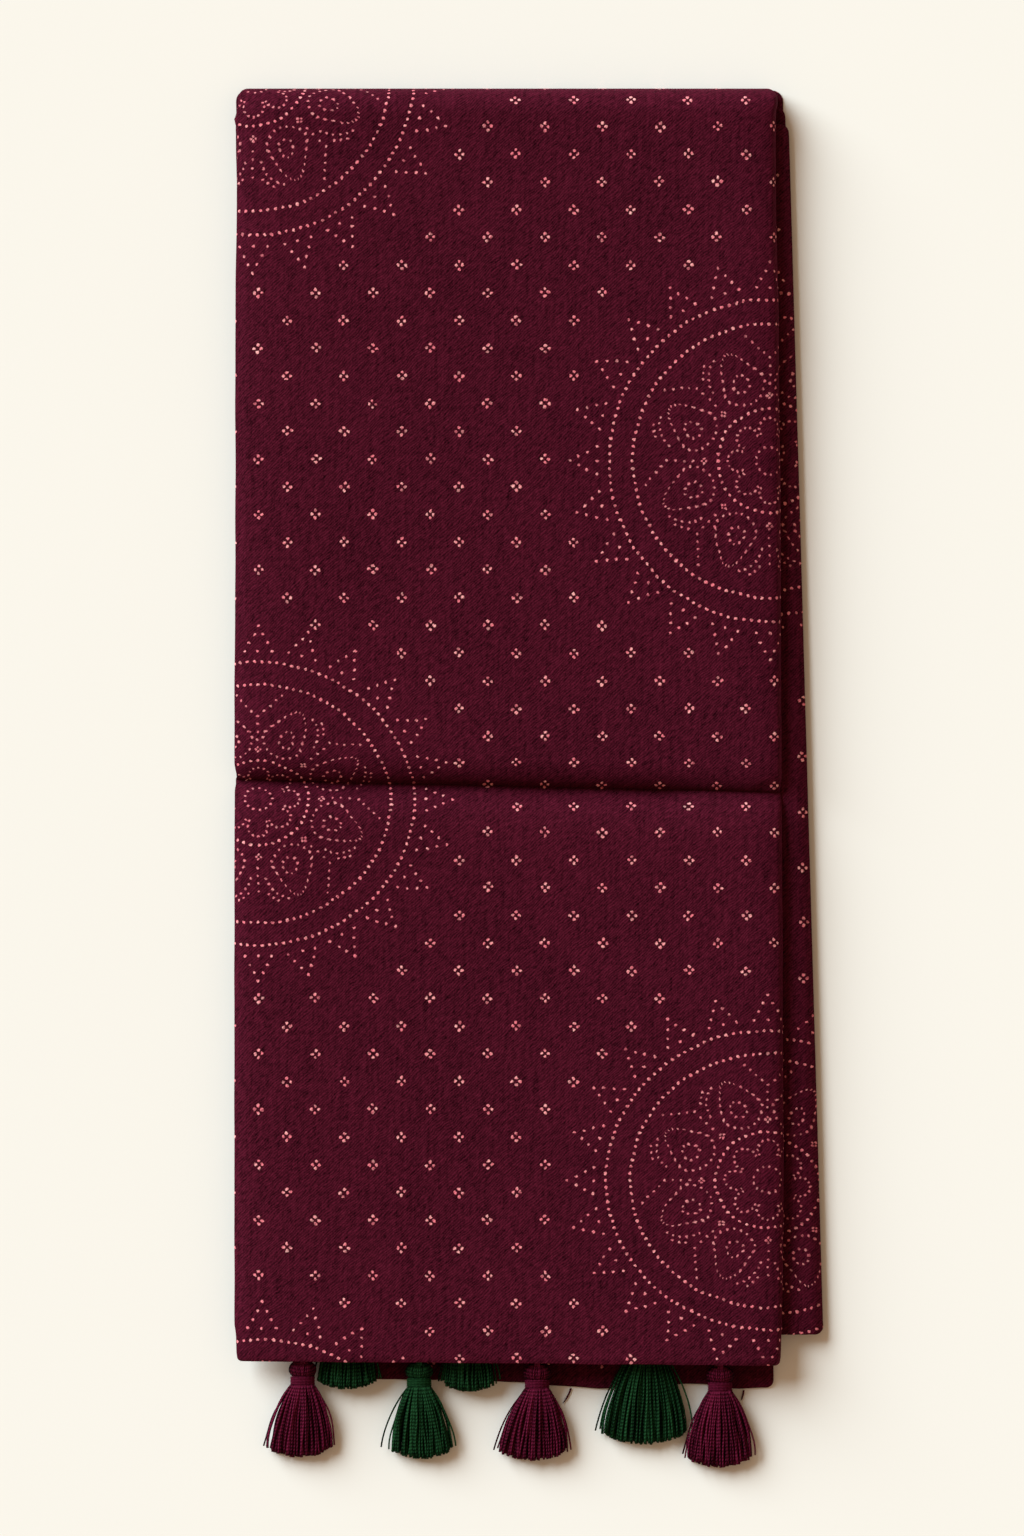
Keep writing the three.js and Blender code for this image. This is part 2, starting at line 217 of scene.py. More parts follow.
# the tied and dyed print, in millimetres of flat cloth
printSizes = dict(
    latticeWide=30.8, latticeTall=29.75,     # half-drop repeat of the small four-dot ties
    latticeStart=(-145.3, 174.6),
    fourDotReach=1.9,
    latticeClear=112,                        # no small ties nearer a medallion's middle than this
    dot=0.79, ringDot=0.81, fineDot=0.62,    # dot radii
    soft=0.26,
    ringRadius=86.4, ringDots=134,
    secondRadius=73.4, secondDots=116,
    innerRadius=28.0, innerDots=44,
    heartRadius=7.6, heartDots=13,
    petals=8, petalPhase=20.5, petalOut=47.5, petalWide=9.6, petalLong=14.6, petalDots=22,
    petalLean=(11, -15),                     # most leaves lean one way and every fourth the other way
    tails=((16.2, 12.5, 16, 92), (19.4, 10.0, 36, 68)),   # radius, degrees between dots, first and last degree
    seedWide=3.6, seedLong=4.8, seedDots=8,
    scallopOut=17.2, scallopRadius=5.7, scallopDots=12,
    scallopFrom=-3.2,                        # no scallop dots nearer the heart than this
    arrows=24,
    drift=2.4, wobble=1.3,                   # how far hand tying moves the print, slowly and from dot to dot
    leafPlace=0.6, leafTaper=(-7.0, 0.036),
    seedPlace=(1.0, 3.5),
    stem=(39.0, 57.0, 4.6),                  # a trail between the leaves: from, to and distance between dots
    armPlace=55.2, armSlant=48,              # its fork
    arm=(2.2, 19.0, 4.3),
    smallTie=(35.2, 1.25),                   # place out and reach of the tie between the leaves
    noDot=9.0,                               # a distance that is far from any dot
    edge=(0.55, 0.4),                        # how far the darker dye reaches past a dot, and how softly
)
arrowDots = [      # place across, place out from the middle
    (0, 92.8),
    (7.5, 92.8),
    (5.0, 97.7),
    (2.5, 102.3),
    (0, 107.1),
]
medallions = [     # middle across, middle along, half width, half length of the outer ring
    (-148.1, 381.4, 86.4, 86.4),
    (129.3, 173.7, 86.4, 86.4),
    (-145.4, -14.3, 84.2, 80.0),
    (128.3, -220.4, 87.0, 80.2),
    (-143.3, -388.4, 86.4, 82.6),
]
columnSplit = -8               # where the places of one medallion end and the next one's begin
leftSplits = (184, -202)
rightSplit = -23


def ringOfDots(r, turn, radius, count):
    step = 2 * math.pi / count
    return distance(folded(turn, step) * radius, r - radius)


def ovalOfDots(x, y, wide, long, count):
    out = distance(x, y)
    reach = distance(x / wide, y / long)
    angle = calc("ARCTAN2", y / long, x / wide)
    return distance((1.0 - 1.0 / calc("MAXIMUM", reach, 0.1)) * out, folded(angle, 2 * math.pi / count) * out)


def fourDots(sideX, sideY, reach):
    return distance(calc("MAXIMUM", sideX, sideY) - reach, calc("MINIMUM", sideX, sideY))


def onlyBetween(dots, place, first, last):
    # leaves out the dots whose place isn't between first and last
    dots = dots + calc("LESS_THAN", place, first) * printSizes["noDot"]
    return dots + calc("GREATER_THAN", place, last) * printSizes["noDot"]


def bandhaniGroup():
    group = bpy.data.node_groups.new("bandhaniPrint", "ShaderNodeTree")
    for name in ("across", "along"):
        group.interface.new_socket(name, in_out="INPUT", socket_type="NodeSocketFloat")
    for name in ("dots", "tone", "rim"):
        group.interface.new_socket(name, in_out="OUTPUT", socket_type="NodeSocketFloat")
    start = group.nodes.new("NodeGroupInput")
    end = group.nodes.new("NodeGroupOutput")
    s = printSizes

    plainX = Val(group, start.outputs[0])
    plainY = Val(group, start.outputs[1])
    driftX, driftY = cloud(plainX, plainY, 0.085, 1.0, 3.0)[1:]
    wobbleX, wobbleY = cloud(plainX, plainY, 0.75, 1.0, 9.0)[1:]
    x = plainX + (driftX - 0.5) * s["drift"] + (wobbleX - 0.5) * s["wobble"]
    y = plainY + (driftY - 0.5) * s["drift"] + (wobbleY - 0.5) * s["wobble"]

    # which medallion this place belongs to
    isRight = calc("GREATER_THAN", x, columnSplit)
    isBack = calc("GREATER_THAN", y, leftSplits[0])
    isFront = calc("LESS_THAN", y, leftSplits[1])
    isNear = calc("LESS_THAN", y, rightSplit)
    chosen = []
    for column in range(4):
        back, rightBack, middle, rightNear, front = (row[column] for row in medallions)
        left = isBack * (back - middle) + isFront * (front - middle) + middle
        right = isNear * (rightNear - rightBack) + rightBack
        chosen.append(either(isRight, left, right))
    middleX, middleY, halfWide, halfLong = chosen
    outX = (x - middleX) / halfWide * s["ringRadius"]
    outY = (y - middleY) / halfLong * s["ringRadius"]
    r = distance(outX, outY)
    turn = calc("ARCTAN2", outY, outX)

    # rings of dots
    rings = least(
        ringOfDots(r, turn, s["ringRadius"], s["ringDots"]),
        ringOfDots(r, turn, s["secondRadius"], s["secondDots"]),
        ringOfDots(r, turn, s["innerRadius"], s["innerDots"]),
    )
    heart = ringOfDots(r, turn, s["heartRadius"], s["heartDots"])

    # arrowheads outside the ring
    part = folded(turn, 2 * math.pi / s["arrows"])
    side = calc("ABSOLUTE", r * calc("SINE", part))
    out = r * calc("COSINE", part)
    arrows = least(*[distance(side - a, out - b) for a, b in arrowDots])

    # leaf shapes with a pointed end outward, each with a small seed ring inside it;
    # the right half of a medallion mirrors the left
    half = calc("ARCTAN2", outY, calc("ABSOLUTE", outX) * -1.0)
    part = folded(half - math.radians(s["petalPhase"]), 2 * math.pi / s["petals"])
    side = r * calc("SINE", part)
    out = r * calc("COSINE", part) - s["petalOut"]
    lean, otherLean = (math.radians(angle) for angle in s["petalLean"])
    lean = calc("GREATER_THAN", half, math.radians(135)) * (otherLean - lean) + lean
    sine = calc("SINE", lean)
    cosine = calc("COSINE", lean)
    q = out * cosine + side * sine          # along the leaf, to its point
    p = side * cosine - out * sine
    tail = s["noDot"]
    angle = calc("ARCTAN2", p, q)
    for radius, step, first, last in s["tails"]:
        dots = distance(folded(angle, math.radians(step)) * radius, distance(p, q) - radius)
        dots = onlyBetween(dots, angle, math.radians(first), math.radians(last))
        tail = calc("MINIMUM", tail, dots)
    taperFrom, taper = s["leafTaper"]
    p = p * (calc("MAXIMUM", q, taperFrom) * taper + 1.0)
    leaf = ovalOfDots(p, q + s["leafPlace"], s["petalWide"], s["petalLong"], s["petalDots"])
    seedAcross, seedBack = s["seedPlace"]
    seed = ovalOfDots(p - seedAcross, q + seedBack, s["seedWide"], s["seedLong"], s["seedDots"])

    # forked trails and a small tie between the leaves
    part = folded(half, 2 * math.pi / s["petals"])
    side = r * calc("SINE", part)
    out = r * calc("COSINE", part)
    first, last, step = s["stem"]
    stem = onlyBetween(distance(side, folded(out, step)), out, first, last)
    slant = math.radians(s["armSlant"])
    armLong = (out - s["armPlace"]) * math.cos(slant) + side * math.sin(slant)
    armSide = side * math.cos(slant) - (out - s["armPlace"]) * math.sin(slant)
    first, last, step = s["arm"]
    arm = onlyBetween(distance(armSide, folded(armLong, step)), armLong, first, last)
    tiePlace, tieReach = s["smallTie"]
    tie = fourDots(calc("ABSOLUTE", side), calc("ABSOLUTE", out - tiePlace), tieReach)

    # scallops round the heart
    part = folded(turn, 2 * math.pi / s["petals"])
    side = r * calc("SINE", part)
    out = r * calc("COSINE", part) - s["scallopOut"]
    scallop = ringOfDots(distance(side, out), calc("ARCTAN2", out, side), s["scallopRadius"], s["scallopDots"])
    scallop = scallop + calc("LESS_THAN", out, s["scallopFrom"]) * s["noDot"]

    # the half-drop lattice of four-dot ties
    firstX = folded(x - s["latticeStart"][0], s["latticeWide"])
    firstY = folded(y - s["latticeStart"][1], s["latticeTall"])
    otherX = folded(x - s["latticeStart"][0] - s["latticeWide"] / 2, s["latticeWide"])
    otherY = folded(y - s["latticeStart"][1] - s["latticeTall"] / 2, s["latticeTall"])
    isOther = calc("LESS_THAN", distance(otherX, otherY), distance(firstX, firstY))
    tieX = either(isOther, firstX, otherX)
    tieY = either(isOther, firstY, otherY)
    awayX = (x - tieX - middleX) / halfWide * s["ringRadius"]
    awayY = (y - tieY - middleY) / halfLong * s["ringRadius"]
    isClear = calc("GREATER_THAN", distance(awayX, awayY), s["latticeClear"])
    four = fourDots(calc("ABSOLUTE", tieX), calc("ABSOLUTE", tieY), s["fourDotReach"])

    soft = s["soft"]
    past, edgeSoft = s["edge"]
    dots = calc("MAXIMUM", inside(rings, s["ringDot"], soft), inside(four, s["dot"], soft) * isClear)
    ringRim = inside(rings, s["ringDot"] + past, edgeSoft)
    rim = calc("MAXIMUM", ringRim, inside(four, s["dot"] + past, edgeSoft) * isClear)
    fine = inside(least(heart, leaf, tail, seed, stem, arm, tie, scallop), s["fineDot"], soft)
    fine = calc("MAXIMUM", inside(arrows, s["fineDot"] * 1.12, soft), fine * 0.8)
    dots = calc("MAXIMUM", dots, fine)

    # each tie took the dye a little differently
    faint, pale = cloud(plainX, plainY, 0.33, 0.0, 21.0)[1:]
    strength = inside(faint, 0.38, 0.06) * -0.45 + 1.0
    tone = (pale * 1.9 - 0.7) * (isClear * 0.35 + 0.65)
    group.links.new((dots * strength).socket, end.inputs["dots"])
    group.links.new(calc("MAXIMUM", calc("MINIMUM", tone, 1.0), 0.0).socket, end.inputs["tone"])
    group.links.new(rim.socket, end.inputs["rim"])
    return group


# cloth
clothFinish = dict(
    # deep: the twill mixes towards this colour between its ribs as painted shade, and also through a tone that
    # differs at random
    deep=(0.0080, 0.0002, 0.0015),      # between the ribs
    face=(0.1040, 0.0082, 0.0242),      # on the ribs
    tieDeep=(0.80, 0.185, 0.235),
    tiePale=(1.0, 0.51, 0.49),
    glow=(0.55, 0.05, 0.15),
    rib=1.28,                           # millimetres from rib to rib of the twill
    ribAngle=43,
    ribPaintedShade=0.4, grainShare=1.05, streakShare=0.95, warpShare=0.45, shadeShare=0.25, patchShare=0.55,
    rimDepth=0.5,
    roughness=0.75,
    bump=0.45,
)


def mixColour(tree, share, first, second):
    node = tree.nodes.new("ShaderNodeMix")
    node.data_type = "RGBA"
    tree.links.new(share.socket, node.inputs["Factor"])
    for socket, colour in ((node.inputs[6], first), (node.inputs[7], second)):
        if isinstance(colour, tuple):
            socket.default_value = (*colour, 1)
        else:
            tree.links.new(colour, socket)
    return node.outputs[2]


def newMaterial(name, roughness, glow=None):
    material = bpy.data.materials.new(name)
    material.use_nodes = True
    tree = material.node_tree
    shader = tree.nodes["Principled BSDF"]
    shader.inputs["Roughness"].default_value = roughness
    shader.inputs["Specular IOR Level"].default_value = 0.02
    if glow:
        shader.inputs["Sheen Weight"].default_value = 0.12
        shader.inputs["Sheen Roughness"].default_value = 0.5
        shader.inputs["Sheen Tint"].default_value = (*glow, 1)
    return material, tree, shader


def mapPlace(tree):
    # the two numbers of the piece's own map
    uv = tree.nodes.new("ShaderNodeUVMap")
    uv.uv_map = "cloth"
    split = tree.nodes.new("ShaderNodeSeparateXYZ")
    tree.links.new(uv.outputs[0], split.inputs[0])
    return Val(tree, split.outputs[0]), Val(tree, split.outputs[1])


def addBump(tree, shader, height, strength, depth):
    bump = tree.nodes.new("ShaderNodeBump")
    bump.inputs["Strength"].default_value = strength
    bump.inputs["Distance"].default_value = depth
    tree.links.new(height.socket, bump.inputs["Height"])
    tree.links.new(bump.outputs[0], shader.inputs["Normal"])


# painted shade: the cloth's colour is darkened along the back and front of the crease, standing in for the
# shade in its valley
creaseShadeTint = dict(      # the darker line along the fold, in mm; it dies away over the two reaches
    middle=-5.0, slope=-0.0232,
    backReach=5.0, frontReach=0.8,
    darker=0.42,
)


def clothMaterial(name, printGroup, finish, shift=(0.0, 0.0), fold=None):
    material, tree, shader = newMaterial(name, finish["roughness"], finish["glow"])
    x, y = mapPlace(tree)
    x = x * 1000.0 + shift[0]
    y = y * 1000.0 + shift[1]

    # twill ribs that climb to the right, broken and uneven as a crepe yarn makes them
    lean = math.radians(finish["ribAngle"])
    across = x * math.sin(lean) - y * math.cos(lean)
    along = x * math.cos(lean) + y * math.sin(lean)
    bend = cloud(x, y, 0.11, 2.0, 1.0)[0]
    patch = cloud(x, y, 0.6, 2.0, 5.0)[0]
    grain = cloud(x, y, 1.7, 2.0, 8.0)[0]
    streak = cloud(across, along * 0.3, 0.8, 1.0, 4.0)[0]
    warp = cloud(x, y * 0.06, 0.7, 1.0, 6.0)[0]
    wave = calc("SINE", (across / finish["rib"] + bend * 2.6) * (2 * math.pi))
    strength = inside(patch, 0.47, 0.16) * -0.55 + 1.0
    rib = wave * strength * 0.5 + 0.5
    height = rib * 0.75 + (grain - 0.5) * 0.9

    shade = cloud(x, y, 0.012, 2.0, 2.0)[0]
    # the ribs' share of the colour is painted shade between the ribs; the grain, streak, warp, shade and patch
    # shares are a tone that differs at random
    share = (rib - 0.5) * finish["ribPaintedShade"] + (grain - 0.5) * finish["grainShare"]
    share = share + (streak - 0.5) * finish["streakShare"] + (warp - 0.5) * finish["warpShare"]
    share = share + (shade - 0.5) * finish["shadeShare"] + (patch - 0.5) * finish["patchShare"] + 0.5
    cloth = mixColour(tree, share, finish["deep"], finish["face"])
    if fold:
        # painted shade along the crease: near the fold line the colour mixes towards the deep colour
        away = y - x * fold["slope"] - fold["middle"]
        back = calc("MAXIMUM", away, 0.0) / fold["backReach"]
        front = calc("MAXIMUM", away * -1.0, 0.0) / fold["frontReach"]
        darker = calc("EXPONENT", (back + front) * -1.0) * -fold["darker"]
        cloth = mixColour(tree, darker + 1.0, finish["deep"], cloth)
    printNode = tree.nodes.new("ShaderNodeGroup")
    printNode.node_tree = printGroup
    tree.links.new(x.socket, printNode.inputs[0])
    tree.links.new(y.socket, printNode.inputs[1])
    dots = Val(tree, printNode.outputs["dots"])
    rim = Val(tree, printNode.outputs["rim"]) * finish["rimDepth"]
    cloth = mixColour(tree, rim, cloth, finish["deep"])      # dye gathers round a tie
    tie = mixColour(tree, Val(tree, printNode.outputs["tone"]), finish["tieDeep"], finish["tiePale"])
    tree.links.new(mixColour(tree, dots, cloth, tie), shader.inputs["Base Color"])

    addBump(tree, shader, height + dots * 0.5, finish["bump"], 0.3 * mm)
    return material


bandhani = bandhaniGroup()
# the top leaf's cloth, with painted shade along its crease
creaseShadedCloth = clothMaterial("sareeClothCreaseShade", bandhani, clothFinish, fold=creaseShadeTint)
clothFace = clothMaterial("sareeCloth", bandhani, clothFinish)
# the strip of the lower leaf past the hem lies between two rows of ties
innerFace = clothMaterial("sareeClothInside", bandhani, clothFinish, (0.0, 609.0))


# the top leaf
topLow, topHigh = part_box("top_panel")
topLeaf = dict(
    left=topLow[0] + 0.5 * mm,
    width=292.5 * mm,
    back=topHigh[1],
    hem=-313.6 * mm,        # at the left end
    hemFall=2.5 * mm,
    face=20.6 * mm,         # level of its face
    shell=1.1 * mm,
    leftReach=7.0 * mm, rightReach=2.6 * mm, drop=8.3 * mm,   # how the sides roll over
    backReach=14.0 * mm, backDrop=17.1 * mm,                  # how the back fold rolls over
    leftCrown=(6.0 * mm, 18 * mm),           # fall of the face towards each side, and how far in it starts
    rightCrown=(3.4 * mm, 7.5 * mm),
    crease=-1.3 * mm, creaseFall=6.8 * mm,
    creaseBack=(10.6 * mm, 15.0 * mm),       # depth and width of the valley's two sides
    creaseFront=(11.2 * mm, 10.8 * mm),
    creaseRim=(0.75, 0.3),                   # how much of its depth the valley keeps at the left and right rims
    shallow=(72 * mm, 98 * mm, 0.38),        # from, to and share by which the side leaf makes it shallower
    creaseTakeUp=8.0 * mm,                   # cloth swallowed by the valley
    nearBack=26 * mm, nearFront=31 * mm,     # finer rows reach this far from the crease
    backCorner=5.5 * mm, hemCorner=3.2 * mm,
    hemTurn=1.6 * mm, hemLip=0.45 * mm,
    cell=3.0 * mm,
    sideTurns=9,
)
topWander = [      # from the back edge, left edge, right edge, in mm away from a straight line
    (0, 1.6, -1.4),
    (8, 1.8, -1.0),
    (13, 0.9, -1.9),
    (17, -0.5, -2.1),
    (23, 1.2, -2.1),
    (60, 0.8, -2.0),
    (125, 0.1, -0.5),
    (250, 0.1, 0.6),
    (366, -0.4, 1.1),
    (374, 0.7, 0.2),
    (382, -0.4, 1.1),
    (480, -0.4, 1.7),
    (590, -0.5, 2.1),
    (665, -0.4, 1.3),
    (671, 0.4, 0.7),
    (686, 0.6, 0.2),
]


def cornerInset(distance, radius):
    if distance >= radius:
        return 0
    short = radius - max(distance, 0)
    return radius - math.sqrt(radius * radius - short * short)


def hemAt(x):
    return topLeaf["hem"] - topLeaf["hemFall"] * (x - topLeaf["left"]) / topLeaf["width"]


def creaseAt(x):
    bow = 0.5 * mm * wander(x, 0, 60 * mm, 3)
    return topLeaf["crease"] - topLeaf["creaseFall"] * (x - topLeaf["left"]) / topLeaf["width"] + bow


def valley(x, y):
    # the pressed fold: a short steep side at the back, a small step down, and a long rise at the front
    away = y - creaseAt(x)
    share = 1 + 0.1 * wander(x, 0, 40 * mm, 5)
    start, end, shallower = topLeaf["shallow"]
    share *= 1 - shallower * smoothStep(start, end, x)
    if away > 0:
        depth, width = topLeaf["creaseBack"]
        rest = 1 - min(away / width, 1)
        return -depth * share * (1 - math.sqrt(1 - rest * rest))
    depth, width = topLeaf["creaseFront"]
    return -depth * share * math.exp(-(-away / width) ** 1.4)


def pucker(x, y):
    # a short branch of the valley near its right end
    along = x - 121 * mm
    line = creaseAt(x) + max(along, 0) * 0.42
    reach = smoothStep(0, 5 * mm, along) * smoothStep(16 * mm, 9 * mm, along)
    return -0.9 * mm * reach * math.exp(-((y - line) / (1.7 * mm)) ** 2)


def softFace(x, y):
    return 0.34 * mm * wander(x, y, 95 * mm, 1) + 0.1 * mm * wander(x, y, 26 * mm, 2) + pucker(x, y)


def topColumns():
    turns = [math.radians(90 * i / topLeaf["sideTurns"]) for i in range(topLeaf["sideTurns"])]
    count = round(topLeaf["width"] / topLeaf["cell"])
    columns = [(turn, 0.0) for turn in turns]
    columns += [(math.pi / 2, i / count) for i in range(count + 1)]
    columns += [(turn, 1.0) for turn in reversed(turns)]
    return columns


def topRows():
    # each row: turn of the back roll, the stretch it is in, and how far along that stretch it lies
    rows = [(math.radians(turn), "roll", 0.0) for turn in range(0, 90, 6)]
    count = round((topLeaf["back"] - topLeaf["crease"]) / topLeaf["cell"])
    rows += [(math.pi / 2, "upper", i / count) for i in range(count)]
    near = [26, 23, 20, 17, 14.5, 12, 10, 8.4, 7, 5.8, 4.7, 3.7, 2.9, 2.2, 1.6, 1.1, 0.6, 0.2]
    near += [-0.1, -0.6, -1.2, -2, -3, -4.2, -5.5, -7, -9, -11, -13.5, -16, -19, -22, -25, -28, -31]
    rows += [(math.pi / 2, "crease", away * mm) for away in near]
    count = round((topLeaf["crease"] - topLeaf["hem"] - topLeaf["nearFront"]) / topLeaf["cell"])
    rows += [(math.pi / 2, "lower", i / count) for i in range(1, count)]
    rows += [(math.pi / 2, "hem", away * mm) for away in (1.6, 0.8, 0.3, 0.0)]
    return rows


def rowPlace(row, x):
    turn, stretch, amount = row
    if stretch == "crease":
        return creaseAt(x) + amount
    if stretch == "roll":
        return topLeaf["back"] - topLeaf["backReach"] * (1 - math.cos(turn))
    if stretch == "upper":
        start = topLeaf["back"] - topLeaf["backReach"]
        return start + (creaseAt(x) + topLeaf["nearBack"] - start) * amount
    hem = hemAt(x) + 0.35 * mm * wander(x, 0, 22 * mm, 8)
    if stretch == "lower":
        start = creaseAt(x) - topLeaf["nearFront"]
        return start + (hem + topLeaf["hemTurn"] - start) * amount
    return hem + amount


def topPoint(row, column):
    turn, stretch, amount = row
    middle = rowPlace(row, 0)
    fromBack = topLeaf["back"] - middle
    rounding = cornerInset(fromBack, topLeaf["backCorner"])
    rounding += cornerInset(middle - hemAt(0), topLeaf["hemCorner"])
    fine = 0.25 * mm * wander(0, middle, 30 * mm, 4)
    left = topLeaf["left"] + fromTable(topWander, 1, fromBack / mm) * mm + rounding + fine
    right = topLeaf["left"] + topLeaf["width"] + fromTable(topWander, 2, fromBack / mm) * mm - rounding + fine
    reach = 1 - math.cos(column[0])
    start = left + topLeaf["leftReach"] * reach
    end = right - topLeaf["rightReach"] * reach
    x = start * (1 - column[1]) + end * column[1]
    y = rowPlace(row, x)
    backEase = math.sin(turn)
    sideEase = math.sin(column[0])
    drop = topLeaf["backDrop"] * (1 - backEase) + topLeaf["drop"] * (1 - sideEase) * backEase
    lip = 0
    if stretch == "hem":
        lip = topLeaf["hemLip"] * smoothStep(topLeaf["hemTurn"], 0, amount)
    crown = topLeaf["leftCrown"][0] * math.exp(-(x - left) / topLeaf["leftCrown"][1])
    crown += topLeaf["rightCrown"][0] * math.exp(-(right - x) / topLeaf["rightCrown"][1])
    rim = topLeaf["creaseRim"][0] * (1 - column[1]) + topLeaf["creaseRim"][1] * column[1]
    z = topLeaf["face"] - drop + (softFace(x, y) - lip - crown) * backEase * sideEase
    z += valley(x, y) * backEase * (rim + (1 - rim) * sideEase)
    return Vector((x, y, z))


def makeTopLeaf():
    rows = topRows()
    columns = topColumns()
    grid = [[topPoint(row, column) for column in columns] for row in rows]
    wide = len(columns)
    # places on the flat cloth: true where the leaf is flat, and measured round each roll
    flatY = [[0.0] * wide for row in rows]
    firstFlat = next(i for i, row in enumerate(rows) if row[0] >= math.pi / 2)
    for c in range(wide):
        for r in range(firstFlat, len(rows)):
            away = grid[r][c].y - creaseAt(grid[r][c].x)
            flatY[r][c] = grid[r][c].y + topLeaf["creaseTakeUp"] / 2 * math.tanh(away / (11 * mm))
        for r in range(firstFlat - 1, -1, -1):
            flatY[r][c] = flatY[r + 1][c] + (grid[r][c] - grid[r + 1][c]).length
    flatX = [[point.x for point in line] for line in grid]
    for line, flat in zip(grid, flatX):
        for c in range(topLeaf["sideTurns"] - 1, -1, -1):
            flat[c] = flat[c + 1] - (line[c] - line[c + 1]).length
        for c in range(wide - topLeaf["sideTurns"], wide):
            flat[c] = flat[c - 1] + (line[c] - line[c - 1]).length
    points = [point for line in grid for point in line]
    uvs = [(flatX[r][c], flatY[r][c]) for r in range(len(rows)) for c in range(wide)]
    faces = []
    for r in range(len(rows) - 1):
        for c in range(wide - 1):
            a = r * wide + c
            faces.append((a, a + wide, a + wide + 1, a + 1))
    piece = addMesh("topLeaf", points, faces, uvs)
    shell = piece.modifiers.new("thickness", "SOLIDIFY")
    shell.thickness = topLeaf["shell"]
    shell.offset = -1
    piece.data.materials.append(creaseShadedCloth)
    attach(piece, "root")
    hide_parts("top_panel")


# leaves with folded edges all round, built as flat slabs
def leafOutline(low, high, left, right, skew, corner, step, seed, rough):
    # low and high are y; left and right are x where y is nought, and both edges lean by skew
    places = []
    for y in spaced(low + corner, high - corner, step):
        places.append((right - skew * y, y))
    places += cornerArc(right - skew * high, high, corner, 0)
    for x in spaced(right - skew * high - corner, left - skew * high + corner, step):
        places.append((x, high))
    places += cornerArc(left - skew * high, high, corner, 90)
    for y in spaced(high - corner, low + corner, step):
        places.append((left - skew * y, y))
    places += cornerArc(left - skew * low, low, corner, 180)
    for x in spaced(left - skew * low + corner, right - skew * low - corner, step):
        places.append((x, low))
    places += cornerArc(right - skew * low, low, corner, 270)
    middleX = (left + right) / 2
    middleY = (low + high) / 2
    result = []
    for x, y in places:
        push = 1 + rough * wander(x, y, 45 * mm, seed) / 150 / mm
        push += rough * wander(x, y, 13 * mm, seed) / 500 / mm
        result.append((middleX + (x - middleX) * push, middleY + (y - middleY) * (1 + (push - 1) * 0.4)))
    return result


def spaced(start, end, step):
    count = max(round(abs(end - start) / step), 1)
    return [start + (end - start) * i / count for i in range(1, count)]


def cornerArc(x, y, radius, start):
    middleX = x - radius * (1 if start in (0, 270) else -1)
    middleY = y - radius * (1 if start in (0, 90) else -1)
    arc = []
    for i in range(6):
        turn = math.radians(start + 90 * i / 5)
        arc.append((middleX + radius * math.cos(turn), middleY + radius * math.sin(turn)))
    return arc


def addSlab(mesh, outline, low, high, insets, sag, flatBottom=False):
    # mesh is (points, faces, uvs); the rim is rounded and the face goes in by the insets
    points, faces, uvs = mesh
    thick = high - low
    middleX = sum(p[0] for p in outline) / len(outline)
    middleY = sum(p[1] for p in outline) / len(outline)
    reachX = max(abs(p[0] - middleX) for p in outline)
    reachY = max(abs(p[1] - middleY) for p in outline)
    profile = [(0.5 * thick, low), (0.16 * thick, low + 0.14 * thick), (0.0, low + 0.42 * thick)]
    profile += [(0.03 * thick, low + 0.66 * thick), (0.2 * thick, high - 0.12 * thick), (0.55 * thick, high)]
    profile += [(inset, high) for inset in insets]
    first = len(points)
    count = len(outline)
    for inset, level in profile:
        for x, y in outline:
            px = middleX + (x - middleX) * (1 - inset / reachX)
            py = middleY + (y - middleY) * (1 - inset / reachY)
            share = (level - low) / thick
            soft = 0 if flatBottom and share < 0.01 else sag * share * wander(px, py, 60 * mm, 6)
            points.append((px, py, level + soft))
            uvs.append((px, py + (0 if share > 0.5 else -0.3 * thick)))
    closeTube(faces, first, len(profile), count)


leafPacks = [     # bottom, top, left, right, back, front, skew and folds of the leaves under the top one, in mm
    (0.0, 2.3, -155.2, 138.5, 369.0, -297.0, 0.005, 2),
    (2.35, 4.7, -152.5, 143.0, 360.5, -298.5, 0.014, 2),
    (4.75, 7.1, -149.0, 141.5, 354.0, -298.0, 0.024, 2),
]
partedLeaves = [      # bottom, top, left, right, back, both edges of the gap under the crease, front and folds
    (7.15, 9.95, -150.5, 86.0, 352.0, 2.0, -14.8, -299.0, 3),
    (10.0, 12.2, -151.0, 102.0, 354.0, 3.0, -17.6, -310.5, 2),
    (12.25, 14.6, -150.6, 129.0, 361.0, 4.6, -21.4, -311.5, 2),
    (14.65, 16.4, -141.2, 128.0, 358.5, 6.6, -25.2, -311.8, 2),
    (16.45, 18.3, -117.0, 122.0, 355.0, 10.6, -32.5, -312.0, 2),
]
for bottom, top, left, right, back, creaseBack, creaseFront, front, folds in partedLeaves:
    leafPacks.append((bottom, top, left, right, back, creaseBack, 0.0, folds))
    leafPacks.append((bottom, top, left, right, creaseFront, front, 0.0, folds))
bays = dict(      # room for the heads of the tassels that lie under the top leaf
    middles=(-97.6 * mm, -32.2 * mm, 63.2 * mm),
    back=-281 * mm,
    narrow=12 * mm, wide=19 * mm, long=45 * mm,
)
foldedEdge = dict(
    corner=6 * mm, step=4.5 * mm, rough=0.5 * mm,
    insets=(3 * mm, 9 * mm),
    shorter=0.7, gap=0.04,      # how much shorter every second fold is, and the gap between folds, in mm
)


def withBays(outline, front):
    # the front edge draws back round each hidden tassel head
    result = []
    for x, y in outline:
        depth = 0
        for middle in bays["middles"]:
            near = smoothStep(bays["wide"], bays["narrow"], abs(x - middle))
            depth = max(depth, (bays["back"] - front) * near)
        share = smoothStep(front + bays["long"], front, y)
        result.append((x, y + depth * share))
    return result


